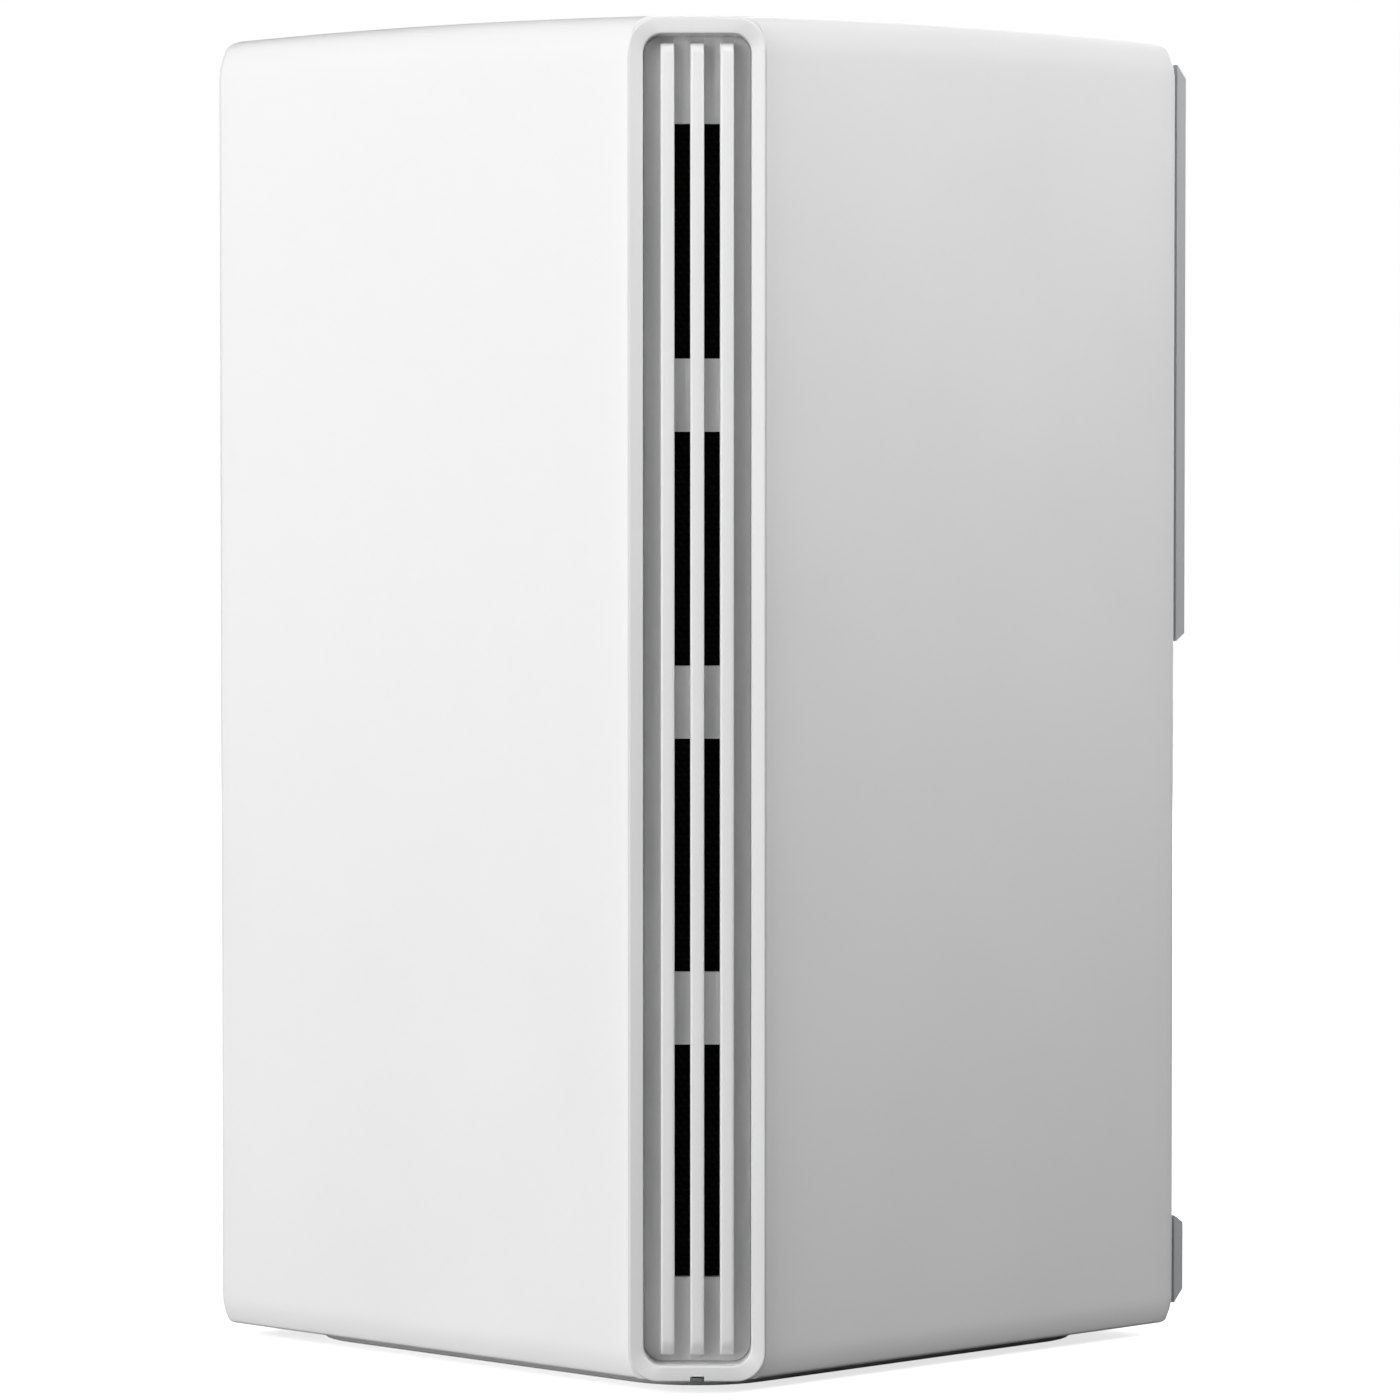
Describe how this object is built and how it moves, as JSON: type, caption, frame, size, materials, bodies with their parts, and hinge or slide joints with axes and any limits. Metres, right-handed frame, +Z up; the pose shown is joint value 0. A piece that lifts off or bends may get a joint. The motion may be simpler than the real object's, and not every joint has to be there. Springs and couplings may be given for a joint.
{
  "type": "wireless router",
  "caption": "Square white tower router with a ribbed, slotted vent strip down a corner, a raised rear panel, a stacked port bay, push buttons and a recessed foot.",
  "frame": {"origin": "on the ground, under the middle of the whole object's box", "axes": "+Z up; the corner vent strip faces +X and -Y at 45 degrees; the ports, buttons and raised panel face +Y"},
  "size_m": [0.0978, 0.0998, 0.1832],
  "materials": {
    "casing_white": "fine matte moulded white",
    "frame_white": "satin moulded white",
    "foot_grey": "matte grey soft foot",
    "port_grey": "matte light grey",
    "black_plastic": "matte black",
    "light_window": "smoked translucent window",
    "bright_steel": "plated sheet steel",
    "contact_brass": "plated contact",
    "heat_sink_aluminium": "extruded aluminium",
    "circuit_board": "solder-masked board",
    "chassis_grey": "moulded dark grey"
  },
  "bodies": {
    "router": {"antenna_board_front": "circuit_board", "antenna_board_left": "circuit_board", "antenna_board_right": "circuit_board", "antenna_board_top": "circuit_board", "antenna_cable_front": "black_plastic", "antenna_cable_left": "black_plastic", "antenna_cable_right": "black_plastic", "antenna_cable_top": "black_plastic", "antenna_carrier": "chassis_grey", "base_foot": "foot_grey", "base_plate": "chassis_grey", "base_screw_1": "bright_steel", "base_screw_2": "bright_steel", "base_screw_3": "bright_steel", "base_screw_4": "bright_steel", "board_screw_1": "bright_steel", "board_screw_2": "bright_steel", "dc_jack_body": "black_plastic", "dc_jack_pin": "contact_brass", "dust_screen": "black_plastic", "grille_frame": "frame_white", "grille_insert": "frame_white", "heat_sink": "heat_sink_aluminium", "inner_chassis": "chassis_grey", "lan_jack_core_1": "black_plastic", "lan_jack_core_2": "black_plastic", "lan_jack_core_3": "black_plastic", "lan_jack_core_4": "black_plastic", "lan_jack_shield_1": "bright_steel", "lan_jack_shield_2": "bright_steel", "lan_jack_shield_3": "bright_steel", "lan_jack_shield_4": "bright_steel", "lan_transformer_1": "black_plastic", "lan_transformer_2": "black_plastic", "led_light_pipe": "light_window", "main_board": "circuit_board", "main_processor": "black_plastic", "mesh_switch": "black_plastic", "outer_shell": "casing_white", "port_plate": "port_grey", "power_capacitor_1": "heat_sink_aluminium", "power_capacitor_2": "heat_sink_aluminium", "power_inductor": "chassis_grey", "rear_panel": "casing_white", "reset_switch": "black_plastic", "rf_shield_1": "bright_steel", "rf_shield_2": "bright_steel", "status_led": "light_window", "status_led_board": "circuit_board", "thermal_pad": "chassis_grey"},
    "mesh_button": {"mesh_button": "port_grey", "mesh_switch_plunger": "black_plastic"},
    "reset_button": {"reset_button": "port_grey", "reset_switch_plunger": "black_plastic"}
  },
  "joints": [
    {"name": "mesh_press", "type": "slide", "parent": "router", "child": "mesh_button", "axis": [0, -1, 0], "range_m": [0, 0.0008], "stiffness_N_per_m": 1500, "springref_m": -0.0003},
    {"name": "reset_press", "type": "slide", "parent": "router", "child": "reset_button", "axis": [0, -1, 0], "range_m": [0, 0.0006], "stiffness_N_per_m": 1500, "springref_m": -0.0003}
  ]
}
